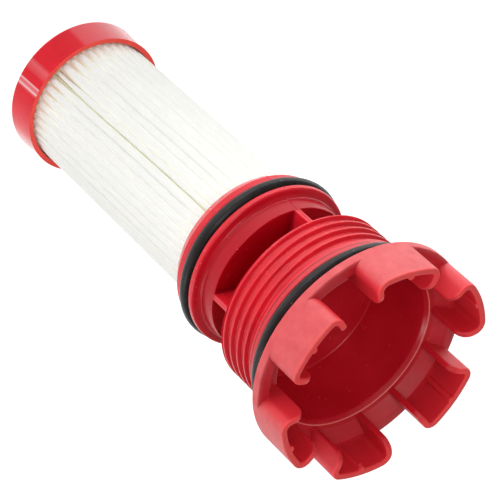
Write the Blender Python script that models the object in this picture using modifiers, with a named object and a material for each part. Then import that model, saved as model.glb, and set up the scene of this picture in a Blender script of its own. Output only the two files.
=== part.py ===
"""Screw-in marine fuel filter cartridge.

The cartridge stands on its closed end cap, with its axis on +Z and the grip lugs on top.
The origin is the middle of the end cap's flat bottom. Sizes are in metres.

Pieces, from the bottom up: end cap, cast adhesive in the end cap, pleated medium with its
seam bead, perforated centre tube, cast adhesive at the neck, and the head moulding with
its two O-rings. The head is one plastic shot: neck, webs, cup with thread, rim and lugs.
"""

import math

import bmesh
import bpy

MM = 0.001

# ---- driving dimensions -------------------------------------------------------------

FACETS = 48                                # facets round every large turned piece
TOUCH_GAP = 0.3 * MM                       # left between two pieces that touch
MERGE_DISTANCE = 0.005 * MM
EDGE = 0.4 * MM                            # small bevel on moulded edges

# head moulding: rim and lugs
FLANGE_RADIUS = 31.0 * MM
OVERALL_HEIGHT = 144.3 * MM
FLANGE_SEAT_Z = 131.9 * MM                 # underside of the rim, meets the housing mouth
FLANGE_THICKNESS = 2.5 * MM
RING_INNER_RADIUS = 27.75 * MM             # inner edge of the rim's flat top
SHELF_RADIUS = 24.8 * MM
SHELF_Z = 131.3 * MM
BORE_RIM_RADIUS = 23.4 * MM
CUP_TOP_RADIUS = 22.4 * MM
CUP_FLOOR_RADIUS = 21.7 * MM
CUP_FLOOR_Z = 112.0 * MM
LUG_COUNT = 6
LUG_RADIUS = 30.9 * MM
LUG_HALF_ANGLE = math.radians(19.3)
LUG_WALL = 1.7 * MM
LUG_CORNER_RADIUS = 3.0 * MM               # upright outer corners of a lug
LUG_TIP_RADIUS = 3.4 * MM                  # inner top corners of a lug's side walls
LUG_FOOT_Z = 130.7 * MM                    # the side walls run down into the shelf
LUG_FOOT_RADIUS = 23.55 * MM
LUG_RIB_RADIUS = 0.6 * MM                  # half-round rib inside each lug

# head moulding: boss, O-ring seat and thread
BOSS_RADIUS = 26.3 * MM
BOSS_Z = 129.25 * MM
SEAT_LAND_Z = 124.5 * MM                   # end of the smooth land below the O-ring seat
THREAD_RADIUS = 25.25 * MM                 # over the crests
THREAD_DEPTH = 1.05 * MM
THREAD_PITCH = 2.9 * MM
THREAD_TOP_Z = 122.4 * MM                  # where the last groove has run out
THREAD_BOTTOM_Z = 110.3 * MM
THREAD_CREST_Z = 113.65 * MM               # height of one crest at THREAD_CREST_AZIMUTH
THREAD_CREST_AZIMUTH = math.radians(226.3)
THREAD_ROWS_PER_PITCH = 6

# head moulding: webs and neck
WEB_THICKNESS = 1.8 * MM                   # where the four webs meet
WEB_DRAFT = 0.06 * MM                      # each side of a web leans in by this much outwards
WEB_RADIUS = 21.2 * MM
WEB_OVERLAP = 0.6 * MM                     # how far the webs run into the deck and the cup
NECK_TOP_Z = 100.3 * MM
NECK_TUBE_RADIUS = 21.4 * MM
NECK_RIM_BORE = 20.8 * MM
NECK_DECK_Z = 99.6 * MM                    # top of the deck that the webs stand on
NECK_DECK_THICKNESS = 2.0 * MM
NECK_HOLE_RADIUS = 10.0 * MM               # lets the fuel up through the deck
NECK_CAVITY_RADIUS = 18.6 * MM
NECK_VALLEY_Z = 95.2 * MM                  # where the tube meets the upper lip's top
NECK_LIP_TOP_Z = 94.9 * MM
NECK_LIP_RADIUS = 23.9 * MM
NECK_LIP_Z = 93.35 * MM
NECK_LOWER_LIP_Z = 88.9 * MM
NECK_LOWER_LIP_RADIUS = 23.1 * MM
NECK_SHOULDER_Z = 87.0 * MM
NECK_END_RADIUS = 21.1 * MM
NECK_END_Z = 84.2 * MM
NECK_WELL_RADIUS = 20.0 * MM               # holds the end of the pleats and their adhesive
NECK_WELL_Z = 88.2 * MM

# O-rings, 3.53 mm section
O_RING_SECTION = 3.53 * MM
O_RING_SECTION_FACETS = 10
FLANGE_O_RING_RADIUS = 25.85 * MM          # to the middle of the section
NECK_O_RING_RADIUS = 22.8 * MM
NECK_O_RING_Z = 91.15 * MM

# pleated medium and its seam bead
PLEAT_COUNT = 46
PLEAT_OUTER_RADIUS = 19.3 * MM
PLEAT_INNER_RADIUS = 12.4 * MM
PLEAT_SHEET = 0.5 * MM
PLEAT_TIP_HALF_WIDTH = 0.8 * MM            # an outer fold, across
PLEAT_FOLD_HALF_WIDTH = 0.62 * MM          # an inner fold, across
PLEAT_BOTTOM_Z = 5.0 * MM
PLEAT_TOP_Z = 85.6 * MM
SEAM_AZIMUTH = math.radians(229.8)         # the valley that carries the seam bead
SEAM_BEAD_RADIUS = 18.6 * MM
SEAM_BEAD_DEPTH = 2.4 * MM
SEAM_BEAD_WIDTH = 0.34 * MM

# centre tube
TUBE_RADIUS = 12.0 * MM
TUBE_WALL = 1.1 * MM
TUBE_FACETS = 24
TUBE_WINDOW_COLUMNS = 6
TUBE_WINDOW_ROWS = 6
TUBE_WINDOW_WIDTH = 5.0 * MM
TUBE_WINDOW_HEIGHT = 8.0 * MM
TUBE_WINDOW_PITCH = 13.0 * MM

# end cap and cast adhesive
END_CAP_RADIUS = 21.3 * MM
END_CAP_BORE = 19.6 * MM
END_CAP_HEIGHT = 9.8 * MM
END_CAP_FLOOR = 1.8 * MM
POTTING_RADIUS = 19.2 * MM


# ---- scene and small helpers --------------------------------------------------------

def clear_scene():
    for item in list(bpy.data.objects):
        bpy.data.objects.remove(item, do_unlink=True)


def new_collection(name):
    collection = bpy.data.collections.new(name)
    bpy.context.scene.collection.children.link(collection)
    return collection


def make_material(name, colour, roughness):
    material = bpy.data.materials.new(name)
    material.use_nodes = True
    shader = material.node_tree.nodes["Principled BSDF"]
    shader.inputs["Base Color"].default_value = (*colour, 1.0)
    shader.inputs["Roughness"].default_value = roughness
    shader.inputs["Metallic"].default_value = 0.0
    return material


def place(name, mesh, material=None):
    """A piece of the cartridge when it has a material, else a cutter or a building block."""
    piece = bpy.data.objects.new(name, mesh)
    if material is None:
        cutters.objects.link(piece)
        piece.hide_render = True
        piece.display_type = 'WIRE'
    else:
        cartridge.objects.link(piece)
        mesh.materials.append(material)
    return piece


def shade_round(piece):
    piece.data.shade_smooth()
    piece.data.set_sharp_from_angle(angle=math.radians(35.0))


def turned(name, points, material=None, closed=True, facets=FACETS):
    """A profile of (radius, height) points turned round the Z axis.

    The profile runs down the outer side; a closed one then runs up the inner side.
    """
    mesh = bpy.data.meshes.new(name)
    edges = [(index, index + 1) for index in range(len(points) - 1)]
    if closed:
        edges.append((len(points) - 1, 0))
    mesh.from_pydata([(radius, 0.0, height) for radius, height in points], edges, [])
    piece = place(name, mesh, material)
    screw = piece.modifiers.new("turn", 'SCREW')
    screw.axis = 'Z'
    screw.steps = facets
    screw.render_steps = facets
    screw.use_merge_vertices = True
    screw.merge_threshold = MERGE_DISTANCE
    return piece


def solid_from(piece, material=None):
    """Swap a curve, or a piece with modifiers, for a plain closed mesh of the same name."""
    bpy.context.view_layer.update()
    graph = bpy.context.evaluated_depsgraph_get()
    mesh = bpy.data.meshes.new_from_object(piece.evaluated_get(graph), depsgraph=graph)
    shell = bmesh.new()
    shell.from_mesh(mesh)
    bmesh.ops.remove_doubles(shell, verts=shell.verts, dist=MERGE_DISTANCE)
    bmesh.ops.recalc_face_normals(shell, faces=shell.faces)
    shell.to_mesh(mesh)
    shell.free()
    name = piece.name
    matrix = piece.matrix_world.copy()
    bpy.data.objects.remove(piece, do_unlink=True)
    mesh.materials.clear()
    solid = place(name, mesh, material)
    solid.matrix_world = matrix
    return solid


def combine(piece, operation, other):
    step = piece.modifiers.new(operation.lower(), 'BOOLEAN')
    step.operation = operation
    step.object = other
    step.solver = 'EXACT'


def extruded(name, outlines, bottom_z, top_z, material=None):
    """Closed outlines of (x, y) points, filled and extruded; an inner outline is a hole."""
    curve = bpy.data.curves.new(name, 'CURVE')
    curve.dimensions = '2D'
    curve.fill_mode = 'BOTH'
    curve.extrude = (top_z - bottom_z) / 2
    for outline in outlines:
        spline = curve.splines.new('POLY')
        spline.points.add(len(outline) - 1)
        spline.use_cyclic_u = True
        for point, (x, y) in zip(spline.points, outline):
            point.co = (x, y, 0.0, 1.0)
    piece = bpy.data.objects.new(name, curve)
    piece.location.z = (top_z + bottom_z) / 2
    cutters.objects.link(piece)
    return solid_from(piece, material)


def boxes(name, sizes_and_places, material=None):
    """Separate boxes in one mesh: each is ((x, y, z) size, (x, y, z) middle, turn about Z)."""
    shell = bmesh.new()
    for size, middle, azimuth in sizes_and_places:
        made = bmesh.ops.create_cube(shell, size=1.0)
        for vertex in made["verts"]:
            x = vertex.co.x * size[0] + middle[0]
            y = vertex.co.y * size[1] + middle[1]
            z = vertex.co.z * size[2] + middle[2]
            vertex.co = (*rotate((x, y), azimuth), z)
    mesh = bpy.data.meshes.new(name)
    shell.to_mesh(mesh)
    shell.free()
    return place(name, mesh, material)


def polar(radius, azimuth):
    return (radius * math.cos(azimuth), radius * math.sin(azimuth))


def rotate(point, azimuth):
    x, y = point
    return (x * math.cos(azimuth) - y * math.sin(azimuth), x * math.sin(azimuth) + y * math.cos(azimuth))


def arc(centre, radius, start, end, steps):
    """Points on an arc, both ends included."""
    points = []
    for step in range(steps + 1):
        x, y = polar(radius, start + (end - start) * step / steps)
        points.append((centre[0] + x, centre[1] + y))
    return points


# ---- head moulding ------------------------------------------------------------------

def thread_heights():
    """Even rows of points, from the top to the bottom of the threaded length."""
    length = THREAD_TOP_Z - THREAD_BOTTOM_Z
    rows = round(length / THREAD_PITCH * THREAD_ROWS_PER_PITCH)
    return [THREAD_TOP_Z - length * row / rows for row in range(rows + 1)]


def thread_groove(azimuth, height):
    """Depth of the rounded right-hand thread below its crests; it runs out at the top."""
    turns = (azimuth - THREAD_CREST_AZIMUTH) / (2 * math.pi)
    phase = (height - THREAD_CREST_Z) / THREAD_PITCH - turns
    valley = 0.5 - 0.5 * math.cos(2 * math.pi * phase)
    run_out = min(1.0, max(0.0, (THREAD_TOP_Z - height) / (0.5 * THREAD_PITCH)))
    return THREAD_DEPTH * run_out * valley ** 0.8


def cut_thread(mesh):
    """Press the helical groove into the outer wall of the cup."""
    for vertex in mesh.vertices:
        radius = math.hypot(vertex.co.x, vertex.co.y)
        in_thread = THREAD_BOTTOM_Z + MERGE_DISTANCE < vertex.co.z < THREAD_TOP_Z
        if in_thread and radius > THREAD_RADIUS - MERGE_DISTANCE:
            azimuth = math.atan2(vertex.co.y, vertex.co.x)
            scale = 1.0 - thread_groove(azimuth, vertex.co.z) / radius
            vertex.co.x *= scale
            vertex.co.y *= scale


def make_cup(material):
    """Cup, threaded wall, O-ring seat, boss and rim, turned in one piece."""
    seat_radius = FLANGE_O_RING_RADIUS - O_RING_SECTION / 2 - TOUCH_GAP
    rim_top = FLANGE_SEAT_Z + FLANGE_THICKNESS
    cup_bottom = THREAD_BOTTOM_Z - EDGE
    points = [
        (0.0, CUP_FLOOR_Z),
        (CUP_FLOOR_RADIUS, CUP_FLOOR_Z),
        (CUP_TOP_RADIUS, SHELF_Z - 5 * EDGE),
        (BORE_RIM_RADIUS - EDGE, SHELF_Z - EDGE),
        (BORE_RIM_RADIUS, SHELF_Z),
        (SHELF_RADIUS, SHELF_Z),
        (RING_INNER_RADIUS, rim_top),
        (FLANGE_RADIUS - EDGE, rim_top),
        (FLANGE_RADIUS, rim_top - EDGE),
        (FLANGE_RADIUS, FLANGE_SEAT_Z),
        (BOSS_RADIUS + 5 * EDGE, FLANGE_SEAT_Z),
        (BOSS_RADIUS, FLANGE_SEAT_Z - 4 * EDGE),
        (BOSS_RADIUS, BOSS_Z),
        (seat_radius, BOSS_Z),
        (seat_radius, SEAT_LAND_Z),
        (THREAD_RADIUS - EDGE, SEAT_LAND_Z),
        (THREAD_RADIUS, SEAT_LAND_Z - EDGE),
    ]
    points += [(THREAD_RADIUS, height) for height in thread_heights()]
    points += [(THREAD_RADIUS - 5 * EDGE, cup_bottom), (0.0, cup_bottom)]
    cup = solid_from(turned("head_moulding", points, closed=False), material)
    cut_thread(cup.data)
    return cup


def half_lug_outline():
    """One half of a lug's C-shaped outline, from its outer side round to its inner rib."""
    corner_azimuth = LUG_HALF_ANGLE - math.asin(LUG_CORNER_RADIUS / (LUG_RADIUS - LUG_CORNER_RADIUS))
    corner = polar(LUG_RADIUS - LUG_CORNER_RADIUS, corner_azimuth)
    side_normal = LUG_HALF_ANGLE + math.pi / 2
    side_end_radius = LUG_FOOT_RADIUS - LUG_WALL
    wall_inner = LUG_RADIUS - LUG_WALL
    rib_azimuth = math.asin(LUG_RIB_RADIUS / wall_inner)

    outline = [polar(LUG_RADIUS, corner_azimuth / 3)]
    outline += arc(corner, LUG_CORNER_RADIUS, corner_azimuth, side_normal, 4)
    outline.append(polar(side_end_radius, LUG_HALF_ANGLE))
    outline.append(polar(side_end_radius, LUG_HALF_ANGLE - math.asin(LUG_WALL / side_end_radius)))
    outline += arc(corner, LUG_CORNER_RADIUS - LUG_WALL, side_normal, corner_azimuth, 2)
    outline += [polar(wall_inner, corner_azimuth / 2), polar(wall_inner, rib_azimuth)]
    rib_x, rib_y = polar(LUG_RIB_RADIUS, math.radians(150.0))
    outline.append((wall_inner + rib_x, rib_y))
    return outline


def make_lugs():
    """Six C-shaped grip lugs, cut from upright prisms by a turned band."""
    half = half_lug_outline()
    whole = half + [(x, -y) for x, y in reversed(half)]
    outlines = []
    for index in range(LUG_COUNT):
        azimuth = 2 * math.pi * index / LUG_COUNT
        outlines.append([rotate(point, azimuth) for point in whole])
    clearance = 2.0 * MM
    prisms = extruded("lugs", outlines, LUG_FOOT_Z - clearance, OVERALL_HEIGHT + clearance)

    inside_flange = FLANGE_SEAT_Z + EDGE
    outside = LUG_RADIUS + clearance
    tip_centre = (LUG_FOOT_RADIUS + LUG_TIP_RADIUS, OVERALL_HEIGHT - LUG_TIP_RADIUS)
    points = [
        (LUG_RADIUS - EDGE, OVERALL_HEIGHT),
        (LUG_RADIUS + EDGE, OVERALL_HEIGHT - 2 * EDGE),
        (outside, OVERALL_HEIGHT - 2 * EDGE),
        (outside, inside_flange),
        (BOSS_RADIUS + 5 * EDGE, inside_flange),
        (BOSS_RADIUS - EDGE, LUG_FOOT_Z),
        (LUG_FOOT_RADIUS, LUG_FOOT_Z),
    ]
    points += arc(tip_centre, LUG_TIP_RADIUS, math.pi, math.pi / 2, 5)
    band = turned("lug_band", points)
    combine(prisms, 'INTERSECT', band)
    return prisms


def make_neck():
    """Neck tube with its deck and two lips, the O-ring groove and the well for the pleats."""
    groove_radius = NECK_O_RING_RADIUS - O_RING_SECTION / 2 - TOUCH_GAP
    deck_underside = NECK_DECK_Z - NECK_DECK_THICKNESS
    return turned("neck", [
        (NECK_TUBE_RADIUS - EDGE / 2, NECK_TOP_Z),
        (NECK_TUBE_RADIUS, NECK_TOP_Z - EDGE / 2),
        (NECK_TUBE_RADIUS, NECK_VALLEY_Z + EDGE),
        (NECK_TUBE_RADIUS + EDGE, NECK_VALLEY_Z),
        (NECK_LIP_RADIUS - 2 * EDGE, NECK_LIP_TOP_Z),
        (NECK_LIP_RADIUS, NECK_LIP_TOP_Z - EDGE),
        (NECK_LIP_RADIUS, NECK_LIP_Z),
        (groove_radius, NECK_LIP_Z),
        (groove_radius, NECK_LOWER_LIP_Z),
        (NECK_LOWER_LIP_RADIUS, NECK_LOWER_LIP_Z),
        (NECK_LOWER_LIP_RADIUS, NECK_SHOULDER_Z),
        (NECK_END_RADIUS, NECK_END_Z),
        (NECK_WELL_RADIUS, NECK_END_Z),
        (NECK_WELL_RADIUS, NECK_WELL_Z),
        (NECK_CAVITY_RADIUS, NECK_WELL_Z),
        (NECK_CAVITY_RADIUS, deck_underside),
        (NECK_HOLE_RADIUS, deck_underside),
        (NECK_HOLE_RADIUS, NECK_DECK_Z),
        (NECK_RIM_BORE, NECK_DECK_Z),
        (NECK_RIM_BORE, NECK_TOP_Z),
    ])


def make_webs():
    """A cross of four webs on the neck's deck, which carries the cup and leaves four windows."""
    end = WEB_THICKNESS / 2 - WEB_DRAFT
    root = WEB_THICKNESS / 2
    arm = [(WEB_RADIUS, -end), (WEB_RADIUS, end), (root, root)]
    cross = []
    for index in range(4):
        cross += [rotate(point, index * math.pi / 2) for point in arm]
    return extruded("webs", [cross], NECK_DECK_Z - WEB_OVERLAP, THREAD_BOTTOM_Z - EDGE + WEB_OVERLAP)


def make_head(material):
    head = make_cup(material)
    for block in (make_lugs(), make_neck(), make_webs()):
        combine(head, 'UNION', block)
    shade_round(head)


# ---- seals --------------------------------------------------------------------------

def make_o_ring(name, ring_radius, height, material):
    section = []
    for step in range(O_RING_SECTION_FACETS):
        x, z = polar(O_RING_SECTION / 2, -2 * math.pi * step / O_RING_SECTION_FACETS)
        section.append((ring_radius + x, height + z))
    shade_round(solid_from(turned(name, section), material))


# ---- element: medium, seam bead, centre tube ----------------------------------------

def pleat_outlines():
    """Outer and inner outline of the folded sheet, four points to a pleat on each."""
    pitch = 2 * math.pi / PLEAT_COUNT
    tip_turn = PLEAT_TIP_HALF_WIDTH / PLEAT_OUTER_RADIUS
    tip_inside = PLEAT_OUTER_RADIUS - PLEAT_SHEET
    tip_inside_turn = (PLEAT_TIP_HALF_WIDTH - PLEAT_SHEET) / tip_inside
    fold_turn = PLEAT_FOLD_HALF_WIDTH / PLEAT_INNER_RADIUS
    valley = PLEAT_INNER_RADIUS + PLEAT_SHEET
    valley_turn = (PLEAT_FOLD_HALF_WIDTH - PLEAT_SHEET) / valley
    outer = []
    inner = []
    for index in range(PLEAT_COUNT):
        tip = SEAM_AZIMUTH + (index + 0.5) * pitch
        fold = tip + pitch / 2
        outer += [polar(PLEAT_OUTER_RADIUS, tip - tip_turn), polar(PLEAT_OUTER_RADIUS, tip + tip_turn)]
        outer += [polar(valley, fold - valley_turn), polar(valley, fold + valley_turn)]
        inner += [polar(tip_inside, tip - tip_inside_turn), polar(tip_inside, tip + tip_inside_turn)]
        inner += [polar(PLEAT_INNER_RADIUS, fold - fold_turn), polar(PLEAT_INNER_RADIUS, fold + fold_turn)]
    return [outer, inner]


def make_medium(material):
    extruded("pleated_medium", pleat_outlines(), PLEAT_BOTTOM_Z, PLEAT_TOP_Z, material)


def make_seam_bead(material):
    size = (SEAM_BEAD_DEPTH, SEAM_BEAD_WIDTH, PLEAT_TOP_Z - PLEAT_BOTTOM_Z)
    middle = (SEAM_BEAD_RADIUS - SEAM_BEAD_DEPTH / 2, 0.0, (PLEAT_TOP_Z + PLEAT_BOTTOM_Z) / 2)
    boxes("seam_bead", [(size, middle, SEAM_AZIMUTH)], material)


def make_centre_tube(material):
    top = NECK_WELL_Z - TOUCH_GAP
    bore = TUBE_RADIUS - TUBE_WALL
    tube = turned("centre_tube", [
        (TUBE_RADIUS, top),
        (TUBE_RADIUS, PLEAT_BOTTOM_Z),
        (bore, PLEAT_BOTTOM_Z),
        (bore, top),
    ], material, facets=TUBE_FACETS)
    windows = []
    middle_z = (PLEAT_BOTTOM_Z + top) / 2
    for row in range(TUBE_WINDOW_ROWS):
        height = middle_z + (row - (TUBE_WINDOW_ROWS - 1) / 2) * TUBE_WINDOW_PITCH
        for column in range(TUBE_WINDOW_COLUMNS):
            azimuth = 2 * math.pi * (column + row % 2 / 2) / TUBE_WINDOW_COLUMNS
            size = (4 * TUBE_WALL, TUBE_WINDOW_WIDTH, TUBE_WINDOW_HEIGHT)
            windows.append((size, (TUBE_RADIUS, 0.0, height), azimuth))
    combine(tube, 'DIFFERENCE', boxes("tube_windows", windows))


# ---- end cap and cast adhesive ------------------------------------------------------

def make_end_cap(material):
    cap = turned("end_cap", [
        (0.0, END_CAP_FLOOR),
        (END_CAP_BORE, END_CAP_FLOOR),
        (END_CAP_BORE, END_CAP_HEIGHT - EDGE / 2),
        (END_CAP_BORE + EDGE / 2, END_CAP_HEIGHT),
        (END_CAP_RADIUS - EDGE / 2, END_CAP_HEIGHT),
        (END_CAP_RADIUS, END_CAP_HEIGHT - EDGE / 2),
        (END_CAP_RADIUS, EDGE),
        (END_CAP_RADIUS - EDGE, 0.0),
        (0.0, 0.0),
    ], closed=False)
    shade_round(solid_from(cap, material))


def make_end_potting(material):
    bottom = END_CAP_FLOOR + TOUCH_GAP
    top = PLEAT_BOTTOM_Z - TOUCH_GAP
    disc = turned("end_potting", [
        (0.0, top),
        (POTTING_RADIUS, top),
        (POTTING_RADIUS, bottom),
        (0.0, bottom),
    ], closed=False)
    solid_from(disc, material)


def make_neck_potting(material):
    bottom = PLEAT_TOP_Z + TOUCH_GAP
    top = NECK_WELL_Z - TOUCH_GAP
    outer = NECK_WELL_RADIUS - TOUCH_GAP
    inner = TUBE_RADIUS + TOUCH_GAP
    ring = turned("neck_potting", [(outer, top), (outer, bottom), (inner, bottom), (inner, top)])
    solid_from(ring, material)


# ---- assembly -----------------------------------------------------------------------

clear_scene()
cartridge = new_collection("fuel_filter_cartridge")
cutters = new_collection("cutters")

red_plastic = make_material("head_plastic", (0.62, 0.035, 0.04), 0.42)
gloss_red = make_material("end_cap_plastic", (0.58, 0.01, 0.02), 0.12)
black_rubber = make_material("seal_rubber", (0.02, 0.02, 0.02), 0.5)
white_medium = make_material("filter_medium", (0.88, 0.88, 0.85), 0.9)
adhesive = make_material("cast_adhesive", (0.75, 0.72, 0.55), 0.5)
tube_plastic = make_material("tube_plastic", (0.78, 0.78, 0.75), 0.5)

make_head(red_plastic)
make_o_ring("flange_o_ring", FLANGE_O_RING_RADIUS, BOSS_Z - TOUCH_GAP / 2 - O_RING_SECTION / 2, black_rubber)
make_o_ring("neck_o_ring", NECK_O_RING_RADIUS, NECK_O_RING_Z, black_rubber)
make_medium(white_medium)
make_seam_bead(adhesive)
make_centre_tube(tube_plastic)
make_end_cap(gloss_red)
make_end_potting(adhesive)
make_neck_potting(adhesive)
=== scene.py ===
"""Fuel filter cartridge: fine surfaces, materials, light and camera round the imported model.

The cartridge stands on its end cap with the grip lugs on top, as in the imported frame. The
head moulding, the O-rings, the pleated medium, its seam bead and the end cap are modelled
here in full detail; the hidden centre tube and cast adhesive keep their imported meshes.
"""

import math
import random

import bmesh
import bpy
import numpy as np
from mathutils import Matrix, Vector


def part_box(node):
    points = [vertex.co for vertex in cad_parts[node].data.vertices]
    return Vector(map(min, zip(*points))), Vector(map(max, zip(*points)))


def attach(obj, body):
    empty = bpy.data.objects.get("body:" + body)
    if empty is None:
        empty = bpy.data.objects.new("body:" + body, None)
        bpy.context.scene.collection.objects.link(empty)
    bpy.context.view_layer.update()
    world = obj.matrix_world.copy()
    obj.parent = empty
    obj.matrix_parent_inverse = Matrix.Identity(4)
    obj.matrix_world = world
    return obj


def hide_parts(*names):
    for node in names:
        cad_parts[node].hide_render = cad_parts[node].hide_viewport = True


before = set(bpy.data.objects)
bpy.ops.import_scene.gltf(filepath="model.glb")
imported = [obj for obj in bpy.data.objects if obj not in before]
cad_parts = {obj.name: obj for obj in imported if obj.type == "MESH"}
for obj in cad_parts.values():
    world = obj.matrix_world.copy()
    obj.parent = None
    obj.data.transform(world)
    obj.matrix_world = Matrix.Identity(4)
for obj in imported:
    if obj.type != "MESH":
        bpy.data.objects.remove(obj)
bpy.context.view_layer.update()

MM = 0.001
TAU = 2.0 * math.pi

# ---- sizes: the frame gives the main ones -------------------------------------------

HEAD_LOW, HEAD_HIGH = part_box("head_moulding")
CAP_LOW, CAP_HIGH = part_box("end_cap")
MEDIUM_LOW, MEDIUM_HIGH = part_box("pleated_medium")
FLANGE_RING_LOW, FLANGE_RING_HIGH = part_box("flange_o_ring")
NECK_RING_LOW, NECK_RING_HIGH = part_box("neck_o_ring")

COLUMNS = 288                              # facets round the turned pieces
FILLET_STEP = math.radians(18.0)           # turn between two points of a fillet
PARTING_AZIMUTHS = (0.0, math.pi)          # where the two halves of the mould met
PARTING_HEIGHT = 0.13 * MM
PARTING_HALF_WIDTH = 0.16 * MM

# rim, funnel and cup
RIM_RADIUS = HEAD_HIGH.x
TIP_Z = HEAD_HIGH.z
SEAT_Z = TIP_Z - 12.4 * MM                 # underside of the rim
RIM_TOP_Z = SEAT_Z + 2.5 * MM
RING_INNER_RADIUS = 27.75 * MM
SHELF_RADIUS = 24.8 * MM
SHELF_Z = SEAT_Z - 0.6 * MM
CUP_MOUTH_RADIUS = 23.4 * MM
CUP_TOP_RADIUS = 22.6 * MM
CUP_FLOOR_RADIUS = 21.7 * MM
CUP_FLOOR_Z = SEAT_Z - 19.9 * MM

# lugs
LUG_COUNT = 6
LUG_RADIUS = RIM_RADIUS + 0.004 * MM       # flush with the rim
LUG_HALF_ANGLE = math.radians(19.3)
LUG_WALL = 1.7 * MM
LUG_CORNER_RADIUS = 3.0 * MM
LUG_TIP_RADIUS = 3.4 * MM
LUG_FOOT_Z = SEAT_Z + 0.4 * MM             # inside the rim
LUG_SIDE_FOOT_Z = SEAT_Z - 1.0 * MM        # the side walls run down into the shelf
LUG_FOOT_RADIUS = 23.6 * MM
LUG_STEP_RADIUS = 25.2 * MM                # outwards from here the foot rises to the rim's, over 1 mm
LUG_EDGE = 0.5 * MM
LUG_RIB_RADIUS = 0.9 * MM
LUG_RIB_OFFSET = -0.15 * MM                # of the rib's middle, inwards from the lug's inner face
LUG_NUB_RADIUS = 0.75 * MM                 # the nub at the tip end of the rib
LUG_NUB_OFFSET = 0.75 * MM
LUG_NUB_LENGTH = 1.3 * MM

# boss, O-ring seat and thread
BOSS_RADIUS = 26.3 * MM
BOSS_Z = SEAT_Z - 2.65 * MM
LAND_Z = SEAT_Z - 7.4 * MM
LAND_LINE_Z = SEAT_Z - 8.9 * MM            # a fine line round the land, below the seat
LAND_LINE_WIDTH = 0.24 * MM                # either side of the line's middle
THREAD_RADIUS = 25.25 * MM
THREAD_DEPTH = 1.0 * MM
THREAD_PITCH = 2.9 * MM
THREAD_TOP_Z = SEAT_Z - 9.4 * MM
THREAD_BOTTOM_Z = SEAT_Z - 21.6 * MM
THREAD_CREST_Z = SEAT_Z - 18.25 * MM       # height of a crest at THREAD_CREST_AZIMUTH
THREAD_CREST_AZIMUTH = math.radians(226.3)
THREAD_CREST_SHARE = 0.07                  # of the pitch, from the middle of a crest
THREAD_FLANK_SHARE = 0.22                  # of the pitch, for each rounded flank
THREAD_ROWS_PER_PITCH = 32

# webs and neck
WEB_HALF = 0.9 * MM                        # half a web's thickness where the four meet
WEB_DRAFT = 0.06 * MM                      # each side of a web leans in by this much outwards
WEB_RADIUS = 21.35 * MM
NECK_END_Z = HEAD_LOW.z
NECK_END_RADIUS = 21.1 * MM
NECK_TOP_Z = NECK_END_Z + 16.1 * MM
NECK_TUBE_RADIUS = 21.4 * MM
NECK_RIM_BORE = 20.8 * MM
NECK_DECK_Z = NECK_TOP_Z - 0.7 * MM
NECK_DECK_THICKNESS = 2.0 * MM
NECK_HOLE_RADIUS = 10.0 * MM
NECK_CAVITY_RADIUS = 18.6 * MM
NECK_VALLEY_Z = NECK_END_Z + 11.0 * MM
NECK_LIP_TOP_Z = NECK_END_Z + 10.75 * MM
NECK_LIP_Z = NECK_END_Z + 9.15 * MM
NECK_LIP_RADIUS = 23.9 * MM
NECK_LOWER_LIP_Z = NECK_END_Z + 4.7 * MM
NECK_LOWER_LIP_RADIUS = 23.1 * MM
NECK_SHOULDER_Z = NECK_END_Z + 2.8 * MM
NECK_WELL_RADIUS = 20.0 * MM
NECK_WELL_Z = NECK_END_Z + 4.0 * MM

# O-rings
O_RING_RADIUS = 3.53 * MM / 2
O_RING_COLUMNS = 240                       # facets round a ring
O_RING_STEPS = 40                          # facets round its section
SEAT_GAP = 0.3 * MM
FLANGE_RING_LEAN = 0.05 * MM
FLANGE_RING_LEAN_AZIMUTH = 1.0
FLANGE_RING_WAVE = 0.03 * MM
NECK_RING_LEAN = 0.22 * MM
NECK_RING_LEAN_AZIMUTH = math.radians(100.0)
NECK_RING_WAVE = 0.1 * MM

# pleats
PLEATS = 46
PLEAT_TIP_RADIUS = MEDIUM_HIGH.x
PLEAT_FOLD_RADIUS = 12.4 * MM
PLEAT_SHEET = 0.5 * MM
PLEAT_OPENING = 0.95 * MM                  # extra gap between folds where they are held apart
FOLD_BEND = 0.2 * MM
PLEAT_ROUNDNESS = 0.32                     # how far a tip stands out, as a share of its half width
PLEAT_ROUNDNESS_APART = 0.5                # more of that where the folds are apart
PLEATS_MEET = (0.05, 0.20)                 # shares of the length: where they start to meet, and over
PLEATS_PART = (1.03, 0.16)                 # the same for parting again towards the neck
NECK_FULLNESS = 0.6                        # of the full spread, where the pleats enter the neck
FOLD_OFFSET = math.radians(0.45)           # each fold is up to this much out of place
FOLD_GAPS = (0.03, 0.1)                    # mm
FOLD_SWAYS = (0.1, 0.3)                    # degrees
FOLD_SWAY_TURNS = 1.3                      # waves over the length of a fold
TIP_REACH = 0.16                           # mm, how far a tip may fall short
SEAM_AZIMUTH = math.radians(229.8)
SEAM_TWIST = math.radians(3.5)             # the folds drift this far from end to end
SEAM_GAP = 0.45 * MM
SEAM_NEXT_GAP = 0.26 * MM                  # the fold on the other side of the seam's pleat
SEAM_NEXT_OFFSET = math.radians(1.6)
MEDIUM_ROWS = 56
BEAD_RADIUS = 17.7 * MM                    # to the bead's middle
BEAD_DEPTH = 1.6 * MM
BEAD_WIDTH = 0.36 * MM
BEAD_ROWS = 90
BEAD_SIDES = 12

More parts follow.
